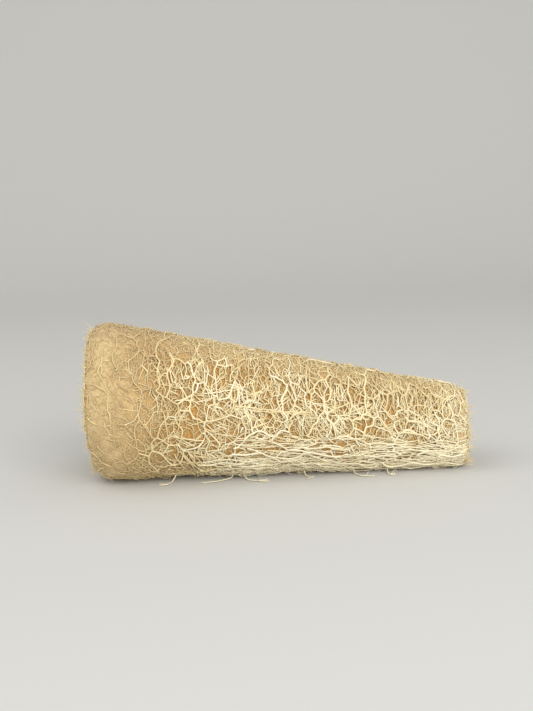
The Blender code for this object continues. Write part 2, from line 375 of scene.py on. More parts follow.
def skin_radius(x, angle):
    """The tabled radius of the skin, for arrays of places along the gourd and round it."""
    ring = np.clip(share_at(x), 0, LAST_SHARE) * (SKIN_RINGS - 1)
    turn = np.mod(angle / math.tau, 1.0) * SKIN_TURNS
    low_ring = ring.astype(int)
    low_turn = turn.astype(int) % SKIN_TURNS
    next_turn = (low_turn + 1) % SKIN_TURNS
    up = ring - low_ring
    on = turn - np.floor(turn)
    near = SKIN[low_ring, low_turn] * (1 - on) + SKIN[low_ring, next_turn] * on
    far = SKIN[low_ring + 1, low_turn] * (1 - on) + SKIN[low_ring + 1, next_turn] * on
    return near * (1 - up) + far * up


def smooth_step(value, zone):
    """0 before a zone and 1 after it, with a smooth rise between."""
    low, high = zone
    share = np.clip((value - low) / (high - low), 0, 1)
    return share * share * (3 - 2 * share)


def side_places(x, angle, depth):
    """Points under the skin, for arrays of places along the gourd, round it and below the skin."""
    half = half_height(share_at(x))
    radius = skin_radius(x, angle) - depth
    y = radius * DEPTH_SHARE * np.cos(angle)
    z = np.maximum(half - UNDERSIDE_SINK + radius * np.sin(angle), FLOOR_GAP)
    return np.stack((x, y, z), axis=-1) + BODY_SHIFT


def depth_below_skin(places):
    """How far below the gourd's skin each point lies, measured square to its length."""
    x, y, z = (places - BODY_SHIFT).T
    up = z - half_height(share_at(x)) + UNDERSIDE_SINK
    across = y / DEPTH_SHARE
    return skin_radius(x, np.arctan2(up, across)) - np.hypot(across, up)


def channel_at(x, number):
    """A seed channel's place aside, its height and its radius at a place along the gourd."""
    share = share_at(x)
    return [wide + (narrow - wide) * share for wide, narrow in zip(*CHANNELS[number])]


def depth_behind_channels(places):
    """How far each point lies from the nearest seed channel's wall, less than 0 inside one."""
    x, y, z = (places - BODY_SHIFT).T
    nearest = np.full(len(places), np.inf)
    for number in range(len(CHANNELS)):
        aside, up, radius = channel_at(x, number)
        gap = np.hypot(y - aside, z - up) - radius
        nearest = np.minimum(nearest, gap)
    return nearest


def side_sheet():
    return Sheet(*ALL_ROUND, lambda x: half_height(share_at(x)), side_places)


def channel_sheet(number):
    """The wall of one seed channel, where depth is measured away from the channel."""

    def place(x, angle, depth):
        aside, up, radius = channel_at(x, number)
        y = aside + (radius + depth) * np.cos(angle)
        z = up + (radius + depth) * np.sin(angle)
        return np.stack((x, y, z), axis=-1) + BODY_SHIFT

    return Sheet(*ALL_ROUND, lambda x: channel_at(x, number)[2], place)


def section_sheet(x):
    """A flat sheet across the gourd, where depth is measured along it."""
    half = half_height(share_at(x))

    def place(y, up, depth):
        z = np.maximum(half - UNDERSIDE_SINK + up, FLOOR_GAP)
        return np.stack((x + depth, y, z), axis=-1) + BODY_SHIFT

    return Sheet((-half, -half), (half, half), 0.0, lambda y: np.ones_like(y), place)


def spread_seeds(draw, sheet, cell_at):
    """The middles of cells, thrown at random but never too near, and each cell's two half sizes."""
    low, high = np.array(sheet.low), np.array(sheet.high)
    trial = draw.uniform(low, high, (TRIALS, 2))
    along, across = cell_at(trial[:, 0], trial[:, 1])
    cells = np.prod(high - low) * (sheet.width(trial[:, 0]) / (along * across)).mean()
    throws = draw.uniform(low, high, (int(cells * THROWS), 2))
    along, across = cell_at(throws[:, 0], throws[:, 1])
    sizes = np.stack((along, across / sheet.width(throws[:, 0])), axis=-1)
    seeds = np.empty_like(throws)
    kept = []
    for number, throw in enumerate(throws):
        found = len(kept)
        step = seeds[:found] - throw
        if sheet.turn:
            step[:, 1] -= sheet.turn * np.round(step[:, 1] / sheet.turn)
        step /= sizes[number]
        if found and (step * step).sum(axis=1).min() < SEED_GAP**2:
            continue
        seeds[found] = throw
        kept.append(number)
    spread = np.exp(draw.normal(0, CELL_SPREAD, (len(kept), 1)))
    return seeds[: len(kept)], sizes[kept] * spread


def share_out(sheet, seeds, sizes):
    """Which cell each small square of the sheet belongs to: the nearest, in the cell's own sizes."""
    low, high = np.array(sheet.low), np.array(sheet.high)
    widest = sheet.width(low[:1])[0]
    spans = (high - low) * (1, widest)
    rows, columns = np.maximum(np.round(spans / SQUARE).astype(int), FEWEST_SQUARES)
    unit = (high - low) / (rows, columns)
    best = np.full((rows, columns), np.inf)
    owner = np.full((rows, columns), -1)
    for number, (seed, size) in enumerate(zip(seeds, sizes)):
        start = np.floor((seed - CELL_REACH * size - low) / unit).astype(int)
        end = np.ceil((seed + CELL_REACH * size - low) / unit).astype(int)
        row = np.arange(max(start[0], 0), min(end[0], rows))
        if sheet.turn:
            column = np.arange(start[1], min(end[1], start[1] + columns))
        else:
            column = np.arange(max(start[1], 0), min(end[1], columns))
        far_u = (low[0] + (row + 0.5) * unit[0] - seed[0]) / size[0]
        far_v = (low[1] + (column + 0.5) * unit[1] - seed[1]) / size[1]
        far = far_u[:, None] ** 2 + far_v[None, :] ** 2
        window = np.ix_(row, column % columns)
        nearer = far < best[window]
        best[window] = np.where(nearer, far, best[window])
        owner[window] = np.where(nearer, number, owner[window])
    return owner, unit


def cell_corners(draw, sheet, owner, unit):
    """The points where three or more cells meet, and the cells that meet at each."""
    if sheet.turn:
        owner = np.hstack((owner, owner[:, :1]))
    blocks = np.stack((owner[:-1, :-1], owner[1:, :-1], owner[:-1, 1:], owner[1:, 1:]))
    blocks.sort(axis=0)
    kinds = 1 + (blocks[1:] != blocks[:-1]).sum(axis=0)
    found = {}
    for row, column in np.argwhere(kinds >= 3):
        key = tuple(sorted(set(blocks[:, row, column].tolist())))
        if key[0] >= 0:
            found.setdefault(key, (row + 1, column + 1))
    corners = np.array(list(found.values()), float)
    corners += draw.uniform(-0.5, 0.5, corners.shape)
    return sheet.low + corners * unit, list(found)


def steps_between(sheet, start, end):
    """The step from one place on a sheet to another in metres, the short way round."""
    step = end - start
    if sheet.turn:
        step[..., 1] -= sheet.turn * np.round(step[..., 1] / sheet.turn)
    step[..., 1] *= sheet.width((start[..., 0] + end[..., 0]) / 2)
    return step


def net_edges(sheet, corners, keys):
    """The pairs of corners that share a border between the same two cells."""
    borders = {}
    for number, key in enumerate(keys):
        for pair in combinations(key, 2):
            borders.setdefault(pair, []).append(number)
    edges = []
    for pair in sorted(borders):
        ends = borders[pair]
        if len(ends) > 2:
            ends = max(combinations(ends, 2), key=lambda two: far_apart(sheet, corners, two))
        if len(ends) == 2:
            edges.append(tuple(ends))
    return edges


def far_apart(sheet, corners, two):
    step = steps_between(sheet, corners[two[0]], corners[two[1]])
    return math.hypot(step[0], step[1])


def straight_pairs(spokes):
    """Edges that meet at a corner, paired off where they run straightest through it."""
    ways = [way / (math.hypot(way[0], way[1]) + WELD) for _, way in spokes]
    pairs = []
    for first, second in combinations(range(len(spokes)), 2):
        cosine = ways[first][0] * ways[second][0] + ways[first][1] * ways[second][1]
        if cosine < STRAIGHT:
            pairs.append((cosine, first, second))
    paired = set()
    for _, first, second in sorted(pairs):
        if first not in paired and second not in paired:
            paired.update((first, second))
            yield spokes[first][0], spokes[second][0]


def thread_net(sheet, corners, edges):
    """A net's edges joined end to end into threads, each a list of corner numbers."""
    edge_ends = np.array(edges)
    steps = steps_between(sheet, corners[edge_ends[:, 0]], corners[edge_ends[:, 1]])
    spokes = {}
    for number, (start, end) in enumerate(edges):
        spokes.setdefault(start, []).append((number, steps[number]))
        spokes.setdefault(end, []).append((number, -steps[number]))
    follow = {}
    for corner, around in spokes.items():
        for first, second in straight_pairs(around):
            follow[corner, first] = second
            follow[corner, second] = first
    starts = []
    for number, (start, end) in enumerate(edges):
        if (start, number) not in follow:
            starts.append((number, start))
        elif (end, number) not in follow:
            starts.append((number, end))
    starts += [(number, start) for number, (start, _) in enumerate(edges)]
    used = set()
    threads = []
    for edge, corner in starts:
        thread = [corner]
        while edge is not None and edge not in used:
            used.add(edge)
            start, end = edges[edge]
            corner = end if corner == start else start
            thread.append(corner)
            edge = follow.get((corner, edge))
        if len(thread) > 1:
            threads.append(thread)
    return threads


def curve_through(points, counts):
    """Points of a smooth curve through the given ones, with a count of steps for each stretch."""
    padded = np.vstack((2 * points[0] - points[1], points, 2 * points[-1] - points[-2]))
    stretch = np.repeat(np.arange(len(counts)), counts)
    first = np.repeat(np.cumsum(counts) - counts, counts)
    t = ((np.arange(len(stretch)) - first) / np.repeat(counts, counts))[:, None]
    a, b, c, d = (padded[stretch + k] for k in range(4))
    bend = 2 * b + (c - a) * t + (2 * a - 5 * b + 4 * c - d) * t**2
    curve = (bend + (3 * b - a - 3 * c + d) * t**3) / 2
    return np.vstack((curve, points[-1:]))


def lay_thread(draw, sheet, weave, path, thickness):
    """One strand along a path of corners (u, v, depth): its points and its radius at each."""
    for row in range(1, len(path)):
        if sheet.turn:
            path[row:, 1] -= sheet.turn * round((path[row, 1] - path[row - 1, 1]) / sheet.turn)
    width = sheet.width(path[:, 0])[:, None]
    flat = path * np.hstack((np.ones_like(width), width, np.ones_like(width)))
    step = np.diff(flat, axis=0)
    length = np.hypot(step[:, 0], step[:, 1]) + WELD
    aside = draw.normal(0, weave.wobble, len(step))
    middle = (flat[1:] + flat[:-1]) / 2
    middle[:, 0] -= step[:, 1] * aside
    middle[:, 1] += step[:, 0] * aside
    middle[:, 2] += draw.normal(0, weave.bulge, len(step)) * length
    knots = np.empty((2 * len(path) - 1, 3))
    knots[0::2] = flat
    knots[1::2] = middle
    reach = np.hypot(*np.diff(knots[:, :2], axis=0).T)
    counts = np.maximum(np.round(reach / weave.step), 1).astype(int)
    points = curve_through(knots, counts)
    points[:, 1] /= sheet.width(points[:, 0])
    places = sheet.place(points[:, 0], points[:, 1], points[:, 2])
    run = np.concatenate(([0], np.cumsum(np.linalg.norm(np.diff(places, axis=0), axis=1))))
    corner_runs = run[np.concatenate(([0], np.cumsum(counts)))[0::2]]
    near = np.abs(run[:, None] - corner_runs[None, :]).min(axis=1)
    flare = 1 + weave.flare * np.exp(-((near / FLARE_REACH) ** 2))
    spread = weave.spread * float(np.clip(draw.normal(), *SPREAD_LIMITS))
    radii = weave.radius * thickness * math.exp(spread) * flare * draw.uniform(*WAVER, len(run))
    return places, radii


def in_the_flesh(draw, places, radii):
    """Which points lie between the two cuts, under the skin and outside the seed channels."""
    x = places[:, 0] - BODY_SHIFT[0]
    cut = HALF_LENGTH + draw.uniform(-CUT_RAGGED, CUT_RAGGED)
    open_way = depth_behind_channels(places) > radii / 2
    return (np.abs(x) < cut) & open_way & (depth_below_skin(places) > -SKIN_OVERSHOOT)


def kept_runs(kept):
    """The start and end of each unbroken run of at least two kept points."""
    padded = np.concatenate(([False], kept, [False])).astype(int)
    change = np.diff(padded)
    starts, ends = np.flatnonzero(change == 1), np.flatnonzero(change == -1)
    return [(start, end) for start, end in zip(starts, ends) if end - start > 1]


def surface_tone(x, angle):
    """0 where the photograph shows dull tan fibre, 1 where it shows the palest."""
    share = share_at(x)
    duller = WIDE_END_DULLER * (1 - smooth_step(share, DULL_WIDE_END))
    paler = NARROW_END_PALER * smooth_step(share, PALE_NARROW_END)
    # Painted shade darkens the crown, and a painted highlight makes the low sides paler
    crown = CROWN_PAINTED_SHADE * smooth_step(np.sin(angle), PAINTED_SHADE_CROWN)
    return PLAIN_TONE + LOW_SIDE_PAINTED_LIGHT * low_side(x, angle) - duller + paler - crown


def strands_from(draw, sheet, weave, path, thickness, tone):
    """The stretches of one strand that lie in the flesh."""
    places, radii = lay_thread(draw, sheet, weave, path, thickness)
    level = round(float(np.clip(tone + draw.normal(0, TONE_SPREAD), 0, 1)) * (TONES - 1))
    for start, end in kept_runs(in_the_flesh(draw, places, radii)):
        yield Strand(places[start:end], radii[start:end], level / (TONES - 1))


def grow_net(seed, sheet, weave, cell_at, depth_at, tone_at=None, thick_at=None):
    """A net over a sheet: cells of the sizes given, at the depths given, as curved strands."""
    draw = np.random.default_rng(seed)
    seeds, sizes = spread_seeds(draw, sheet, cell_at)
    owner, unit = share_out(sheet, seeds, sizes)
    corners, keys = cell_corners(draw, sheet, owner, unit)
    edges = net_edges(sheet, corners, keys)
    held = draw.random(len(edges)) < 1 - weave.drop
    edges = [edge for edge, kept in zip(edges, held) if kept]
    deep = depth_at(corners[:, 0], corners[:, 1]) + draw.normal(0, weave.rough, len(corners))
    strands = []
    for thread in thread_net(sheet, corners, edges):
        path = np.column_stack((corners[thread], deep[thread]))
        middle = path[len(path) // 2]
        tone = tone_at(middle[0], middle[1]) if tone_at else 0.5
        thickness = thick_at(middle[0], middle[1]) if thick_at else 1.0
        strands.extend(strands_from(draw, sheet, weave, path, thickness, tone))
    return strands


def tube_mesh(name, strands, rounder):
    """Strands as closed tubes in one mesh, each point with its strand's tone and its own depth."""
    bm = bmesh.new()
    for tone in sorted({strand.tone for strand in strands}):
        curve = bpy.data.curves.new(name, "CURVE")
        curve.dimensions = "3D"
        curve.bevel_depth = 1.0
        curve.bevel_resolution = rounder
        curve.use_fill_caps = True
        for strand in strands:
            if strand.tone == tone:
                spline = curve.splines.new("POLY")
                spline.points.add(len(strand.places) - 1)
                weights = np.ones((len(strand.places), 1))
                spline.points.foreach_set("co", np.hstack((strand.places, weights)).ravel())
                spline.points.foreach_set("radius", strand.radii)
        guide = bpy.data.objects.new(name, curve)
        bpy.context.scene.collection.objects.link(guide)
        graph = bpy.context.evaluated_depsgraph_get()
        tubes = bpy.data.meshes.new_from_object(guide.evaluated_get(graph))
        bpy.data.objects.remove(guide, do_unlink=True)
        bpy.data.curves.remove(curve)
        note_values(tubes, "tone", np.full(len(tubes.vertices), tone))
        bm.from_mesh(tubes)
        bpy.data.meshes.remove(tubes)
    bmesh.ops.remove_doubles(bm, verts=bm.verts, dist=WELD)
    bmesh.ops.recalc_face_normals(bm, faces=bm.faces)
    mesh = bpy.data.meshes.new(name)
    bm.to_mesh(mesh)
    bm.free()
    note_depth(mesh)
    mesh.shade_smooth()
    return mesh


def mesh_places(mesh):
    places = np.empty(len(mesh.vertices) * 3)
    mesh.vertices.foreach_get("co", places)
    return places.reshape(-1, 3)


def note_values(mesh, name, values):
    """Keeps a value for each point of a mesh, for the materials to read."""
    held = mesh.attributes.get(name) or mesh.attributes.new(name, "FLOAT", "POINT")
    held.data.foreach_set("value", values)


def note_depth(mesh):
    """Keeps how deep each point lies, from 0 at the skin to 1 at the deepest, which the fibre material
    turns into painted shade.
    """
    places = mesh_places(mesh)
    depth = np.minimum(depth_below_skin(places), exposed_depth(places))
    note_values(mesh, "depth", np.clip(depth / DEEPEST, 0, 1))


def exposed_depth(places):
    """How deep a point looks from the cuts and from inside the channels, where light gets in too."""
    from_cut = HALF_LENGTH - np.abs(places[:, 0] - BODY_SHIFT[0])
    from_channel = depth_behind_channels(places) + CHANNEL_SHADE
    return np.minimum(from_cut + CUT_SHADE, from_channel)


def finish_piece(context, name, mesh, material):
    mesh.materials.append(material)
    obj = bpy.data.objects.new(name, mesh)
    context.scene.collection.objects.link(obj)
    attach(obj, BODY)
    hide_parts(NODE)


def add_piece(context, name, strands, rounder=0):
    """Adds strands as one piece of dried fibre."""
    material = fibre_material(context.scene.loofah_form)
    finish_piece(context, name, tube_mesh(name, strands, rounder), material)


def linear(code):
    """An sRGB hex colour as linear RGBA, by the curve of the standard."""
    values = [int(code[k : k + 2], 16) / 255 for k in (1, 3, 5)]
    curved = [v / 12.92 if v <= 0.04045 else ((v + 0.055) / 1.055) ** 2.4 for v in values]
    return (*curved, 1.0)


def new_material(name):
    """A material with nodes, its tree and its surface shader."""
    material = bpy.data.materials.new(name)
    material.use_nodes = True
    tree = material.node_tree
    return material, tree, tree.nodes["Principled BSDF"]


def add_node(tree, kind, settings=None, links=None):
    """Adds a node, sets its properties and unlinked sockets, and links its other sockets."""
    node = tree.nodes.new("ShaderNode" + kind)
    for key, value in (settings or {}).items():
        if isinstance(key, str) and hasattr(node, key):
            setattr(node, key, value)
        else:
            node.inputs[key].default_value = value
    for key, socket in (links or {}).items():
        tree.links.new(socket, node.inputs[key])
    return node


def fleck(tree, mix, speck, span):
    """Gives the surface the colour of a mix, made darker and lighter in specks."""
    flecks = add_node(tree, "MapRange", span, {"Value": speck.outputs["Fac"]})
    grain = add_node(
        tree,
        "Mix",
        {"data_type": "RGBA", "blend_type": "MULTIPLY", "Factor": 1.0},
        {MIX_A: mix.outputs[MIX_RESULT], MIX_B: flecks.outputs["Result"]},
    )
    tree.links.new(grain.outputs[MIX_RESULT], tree.nodes["Principled BSDF"].inputs["Base Color"])


def roughen(tree, height, settings):
    """Raises fine relief on the surface."""
    bump = add_node(tree, "Bump", settings, {"Height": height})
    tree.links.new(bump.outputs["Normal"], tree.nodes["Principled BSDF"].inputs["Normal"])


def fibre_material(form):
    """Dried luffa fibre, air-dried and uncoated: matt straw, painted palest where light reaches it,
    with a dull waxy sheen along the strands, and darkened to golden amber where it lies deep, as
    painted shade."""
    material = bpy.data.materials.get("dried_luffa_fibre_air_dried")
    if material:
        return material
    material, tree, shader = new_material("dried_luffa_fibre_air_dried")
    place = {"Vector": add_node(tree, "TexCoord").outputs["Object"]}
    depth = add_node(tree, "Attribute", {"attribute_name": "depth"}).outputs["Fac"]
    tone = add_node(tree, "Attribute", {"attribute_name": "tone"}).outputs["Fac"]
    blotch, speck, fibrils = (
        add_node(tree, "TexNoise", {"Scale": 1 / (size * MM), "Detail": detail}, place)
        for size, detail in ((14, 3.0), (0.9, 2.0), (0.25, 2.0))
    )
    halved = {"operation": "MULTIPLY_ADD", 1: 0.5}
    wander = add_node(tree, "Math", halved, {0: blotch.outputs["Fac"], 2: tone})
    pale = add_node(tree, "ValToRGB", links={"Fac": wander.outputs[0]})
    # Painted shade: the deeper a strand lies, the nearer its colour goes to straw and then amber
    deep = add_node(tree, "ValToRGB", links={"Fac": depth})
    for ramp, stops in (
        (pale.color_ramp, ((0.25, form.dull), (0.62, form.cream), (1.0, form.pale))),
        (deep.color_ramp, ((0.0, form.straw), (0.8, form.amber))),
    ):
        for position, _ in stops[1:-1]:
            ramp.elements.new(position)
        for element, (position, colour) in zip(ramp.elements, stops):
            element.position = position
            element.color = colour
    # How deep a strand must lie before the painted shade starts, and where it is full
    painted_shade_span = {"interpolation_type": "SMOOTHSTEP", "From Min": 0.06, "From Max": 0.42}
    sunk = add_node(tree, "MapRange", painted_shade_span, {"Value": depth})
    mixed = add_node(
        tree,
        "Mix",
        {"data_type": "RGBA"},
        {"Factor": sunk.outputs["Result"], MIX_A: pale.outputs["Color"], MIX_B: deep.outputs["Color"]},
    )
    fleck(tree, mixed, speck, {"To Min": 0.86, "To Max": 1.08})
    roughen(tree, fibrils.outputs["Fac"], {"Strength": 0.25, "Distance": 0.05 * MM})
    shader.inputs["Roughness"].default_value = 0.58
    shader.inputs["IOR"].default_value = 1.5
    shader.inputs["Sheen Weight"].default_value = 0.15
    return material


def felt_material(form):
    """The finest fibres of the skeleton, matted together: dry, quite matt, golden amber where the
    open net shades it and tan where it lies bare, with pale hairs across it too thin to model."""
    material, tree, shader = new_material("dried_luffa_fine_fibre_matted")
    place = {"Vector": add_node(tree, "TexCoord").outputs["Object"]}
    bare = add_node(tree, "Attribute", {"attribute_name": "tone"}).outputs["Fac"]
    warp, speck = (
        add_node(tree, "TexNoise", {"Scale": 1 / (size * MM), "Detail": detail}, place)
        for size, detail in ((3, 2.0), (0.7, 3.0))
    )
    bent = add_node(
        tree,
        "VectorMath",
        {"operation": "MULTIPLY_ADD", 1: (2.4 * MM, 2.4 * MM, 2.4 * MM)},
        {0: warp.outputs["Color"], 2: place["Vector"]},
    )
    wide, small = (
        add_node(
            tree,
            "TexVoronoi",
            {"feature": "DISTANCE_TO_EDGE", "Scale": 1 / (size * MM)},
            {"Vector": bent.outputs["Vector"]},
        )
        for size in (1.3, 0.8)
    )
    edges = {0: wide.outputs["Distance"], 1: small.outputs["Distance"]}
    nearest = add_node(tree, "Math", {"operation": "MINIMUM"}, edges)
    fading = {"From Max": 0.13, "To Min": 0.7, "To Max": 0.0}
    hairs = add_node(tree, "MapRange", fading, {"Value": nearest.outputs[0]})
    ground = {"data_type": "RGBA", MIX_A: form.amber, MIX_B: form.tan}
    base = add_node(tree, "Mix", ground, {"Factor": bare})
    lined = add_node(
        tree,
        "Mix",
        {"data_type": "RGBA", MIX_B: form.straw},
        {"Factor": hairs.outputs["Result"], MIX_A: base.outputs[MIX_RESULT]},
    )
    relief = {0: hairs.outputs["Result"], 1: speck.outputs["Fac"]}
    rough = add_node(tree, "Math", {"operation": "ADD"}, relief)
    fleck(tree, lined, speck, {"To Min": 0.72, "To Max": 1.25})
    roughen(tree, rough.outputs[0], {"Strength": 0.6, "Distance": 0.2 * MM})
    shader.inputs["Roughness"].default_value = 0.8
    shader.inputs["Sheen Weight"].default_value = 0.2
    return material


def closeness(x, angle):
    """1 where the photograph shows close fine fibre level with the skin, 0 where the net is open."""
    share = share_at(x)
    up = np.sin(angle)
    wide_end = 1 - smooth_step(share, CLOSE_WIDE_END)
    narrow_end = NARROW_END_CLOSE * smooth_step(share, CLOSE_NARROW_END)
    crown = CROWN_CLOSE * smooth_step(up, CLOSE_CROWN)
    foot = FOOT_CLOSE * smooth_step(-up, CLOSE_FOOT)
    return np.maximum.reduce((wide_end, narrow_end, crown, foot))


def low_side(x, angle):
    """1 on the low sides, where long strands run side by side along the gourd, and where their tone is
    made paler as a painted highlight.
    """
    down = -np.sin(angle)
    band = smooth_step(down, LOW_SIDE_TOP) * (1 - smooth_step(down, LOW_SIDE_FOOT))
    return band * smooth_step(share_at(x), LOW_SIDE_START)


def outer_cell(x, angle):
    """The outer net's cells: long round the crown, open on the wide flank, long on the low side."""
    share = share_at(x)
    flank = smooth_step(share, FLANK_START) * (1 - smooth_step(share, FLANK_END))
    crown = smooth_step(np.sin(angle), LONG_CROWN)
    cell = [plain + more * flank for plain, more in zip(PLAIN_CELL, FLANK_MORE)]
    for goal, weight in ((CROWN_CELL, crown), (LOW_SIDE_CELL, low_side(x, angle))):
        cell = [size + (to - size) * weight for size, to in zip(cell, goal)]
    return cell[0] * MM, cell[1] * MM


def finer(share, least):
    """The outer net's cells scaled down, but never below a least size."""

    def cell(x, angle):
        along, across = outer_cell(x, angle)
        return np.maximum(along * share, least), np.maximum(across * share, least)

    return cell


def fibre_radius(name, description, default):
    return FloatProperty(
        name=name, description=description, default=default, unit="LENGTH", precision=5
    )


def fibre_colour(name, description, code):
    return FloatVectorProperty(
        name=name, description=description, default=linear(code), size=4, subtype="COLOR"
    )


class LoofahForm(bpy.types.PropertyGroup):
    """Sizes and colours of the dried skeleton."""

    strand: fibre_radius("Main strand", "Radius of the strands of the outer net", 0.30 * MM)
    thread: fibre_radius("Fine strand", "Radius of the strands under the outer net", 0.24 * MM)
    hair: fibre_radius("Loose fibre", "Radius of the finest loose fibres", 0.14 * MM)
    pale: fibre_colour("Pale fibre", "Colour of the palest strands", "#F6EBC8")
    cream: fibre_colour("Cream fibre", "Colour of most outer strands", "#EDD9A2")
    dull: fibre_colour("Dull fibre", "Colour of the dullest outer strands", "#D4BA88")
    # Sunken and deep fibre are painted shade: strands turn from straw to amber the deeper they lie,
    # and amber also shades the felt under the open net
    straw: fibre_colour("Sunken fibre", "Colour of strands a little below the skin", "#DABB7C")
    tan: fibre_colour("Bare felt", "Colour of the felt where no open net covers it", "#D2BA8E")
    amber: fibre_colour("Deep fibre", "Colour of the deepest strands", "#BF8938")


def loose_fibres(draw, fibres):
    """Nearly straight fibres that cross the nets, each arched so that both its ends dip."""
    sheet = side_sheet()
    reach = fibres.reach
    strands = []
    for _ in range(fibres.count):
        x = draw.uniform(-HALF_LENGTH - reach[0], HALF_LENGTH + reach[0])
        angle = draw.uniform(0, math.tau)
        if draw.random() > fibres.want_at(x, angle):
            continue
        length = draw.uniform(*reach)
        way = fibres.way_at(draw, x, angle)
        bend = draw.normal(0, FIBRE_BEND)
        run = np.linspace(-0.5, 0.5, FIBRE_KNOTS)
        aside = bend * (run * run - BOW_MIDDLE)
        along = length * (run * math.cos(way) - aside * math.sin(way))
        across = length * (run * math.sin(way) + aside * math.cos(way))
        depth = draw.uniform(*fibres.deep) + DIP * (2 * run) ** END_DIP
        path = np.column_stack((x + along, angle + across / sheet.width(x), depth))
        tone = surface_tone(x, angle) + fibres.tone_shift
        strands.extend(strands_from(draw, sheet, fibres.weave, path, 1.0, tone))
    return strands


def any_way(draw, x, angle):
    """A heading on the skin: round the gourd at the crown, along it on the low side, else any."""
    if draw.random() < LENGTHWISE_CHANCE * low_side(x, angle):
        return draw.normal(0, LENGTHWISE_LEAN)
    if math.sin(angle) > CROSSWISE_FROM and draw.random() < CROSSWISE_CHANCE:
        return math.pi / 2 + draw.normal(0, CROSSWISE_LEAN)
    return draw.uniform(0, math.pi)


def felt_depth(x, angle):
    return FELT_SUNK + (FELT_NEAR - FELT_SUNK) * closeness(x, angle)


def felt_body():
    """A closed body of felted fibre just behind the nets, from a grid bent round the gourd."""
    bm = bmesh.new()
    bmesh.ops.create_grid(bm, x_segments=FELT_RINGS, y_segments=FELT_TURNS, size=0.5)
    along, turn = (np.array([vert.co[axis] for vert in bm.verts]) + 0.5 for axis in (0, 1))
    along = along * (1 + 2 * FELT_CAP) - FELT_CAP
    angle = turn * math.tau
    shrink = 1 - np.maximum(np.maximum(-along, along - 1), 0) / FELT_CAP
    x = (np.clip(along, 0, 1) - 0.5) * (BODY_LENGTH - 2 * FELT_BEHIND_CUT)
    radius = skin_radius(x, angle)
    sunk = felt_depth(x, angle)
    around = np.stack((x, radius * np.cos(angle), radius * np.sin(angle)), axis=-1)
    sunk += FELT_RELIEF * np.array([noise.noise(Vector(grain)) for grain in around / FELT_GRAIN])
    places = side_places(x, angle, radius - (radius - sunk) * np.clip(shrink, 0, 1))
    for vert, place in zip(bm.verts, places):
        vert.co = place
    bmesh.ops.remove_doubles(bm, verts=bm.verts, dist=FELT_WELD)
    bmesh.ops.recalc_face_normals(bm, faces=bm.faces)
    mesh = bpy.data.meshes.new("felt_body")
    bm.to_mesh(mesh)
    bm.free()
    return mesh


def channel_rods():
    """The seed channels as solid rods, widened by the nets that line them."""
    rods = []
    x = np.array((-HALF_LENGTH - OVERRUN, HALF_LENGTH + OVERRUN))
    for number in range(len(CHANNELS)):
        aside, up, radius = channel_at(x, number)
        places = np.column_stack((x, aside, up)) + BODY_SHIFT
        rods.append(Strand(places, radius + CHANNEL_LINING, 0.0))
    return tube_mesh("channel_rods", rods, CHANNEL_ROUNDER)

class LOOFAH_OT_felt(bpy.types.Operator):
    """Fill the flesh behind the nets with felted fine fibre, open along the seed channels"""

    bl_idname = "loofah.felt"
    bl_label = "Fine Fibre Felt"

    def execute(self, context):
        form = context.scene.loofah_form
        scene = context.scene
        body = bpy.data.objects.new("felt_body", felt_body())
        rods = bpy.data.objects.new("channel_rods", channel_rods())
        for obj in (body, rods):
            scene.collection.objects.link(obj)
        cut = body.modifiers.new("channels", "BOOLEAN")
        cut.operation = "DIFFERENCE"
        cut.solver = "EXACT"
        cut.use_self = True
        cut.object = rods
        graph = context.evaluated_depsgraph_get()
        mesh = bpy.data.meshes.new_from_object(body.evaluated_get(graph))
        if len(mesh.polygons) == 0:
            raise RuntimeError("The felt body came out empty")
        for obj in (body, rods):
            bpy.data.objects.remove(obj, do_unlink=True)
        mesh.materials.clear()
        note_depth(mesh)
        places = mesh_places(mesh) - BODY_SHIFT
        x, y, z = places.T
        angle = np.arctan2(z - half_height(share_at(x)) + UNDERSIDE_SINK, y / DEPTH_SHARE)
        note_values(mesh, "tone", closeness(x, angle))
        mesh.shade_smooth()
        finish_piece(context, "felt", mesh, felt_material(form))
        return {"FINISHED"}


class LOOFAH_OT_outer_nets(bpy.types.Operator):
    """Grow the nets that form the skin: main strands, and finer ones that cross behind them"""

    bl_idname = "loofah.outer_nets"
    bl_label = "Outer Nets"

    def execute(self, context):
        form = context.scene.loofah_form
        layers = (
            Layer(
                name="outer_net", seed=21, scale=1.0, least=0.0,
                radius=form.strand, sunk=0.0, drop=0.14, rounder=1,
            ),
            Layer(
                name="second_net", seed=22, scale=0.9, least=0.0,
                radius=form.thread, sunk=0.45 * MM, drop=0.18, rounder=0,
            ),
            Layer(
                name="third_net", seed=23, scale=0.62, least=2.2 * MM,
                radius=form.thread * 0.8, sunk=0.95 * MM, drop=0.12, rounder=0,
            ),
        )
        for layer in layers:
            strands = grow_net(
                layer.seed,
                side_sheet(),
                Weave(
                    radius=layer.radius, spread=0.28, drop=layer.drop, wobble=0.08,
                    rough=0.35 * MM, bulge=0.05, flare=0.4, step=1.2 * MM,
                ),
                finer(layer.scale, layer.least),
                lambda x, angle: np.full_like(x, layer.sunk + layer.radius),
                # A deeper layer's tone is made duller as painted shade
                tone_at=lambda x, angle: surface_tone(x, angle) - SUNK_PAINTED_SHADE * layer.sunk / MM,
                thick_at=lambda x, angle: 1 - CLOSE_THINNER * closeness(x, angle),
            )
            add_piece(context, layer.name, strands, layer.rounder)
        return {"FINISHED"}


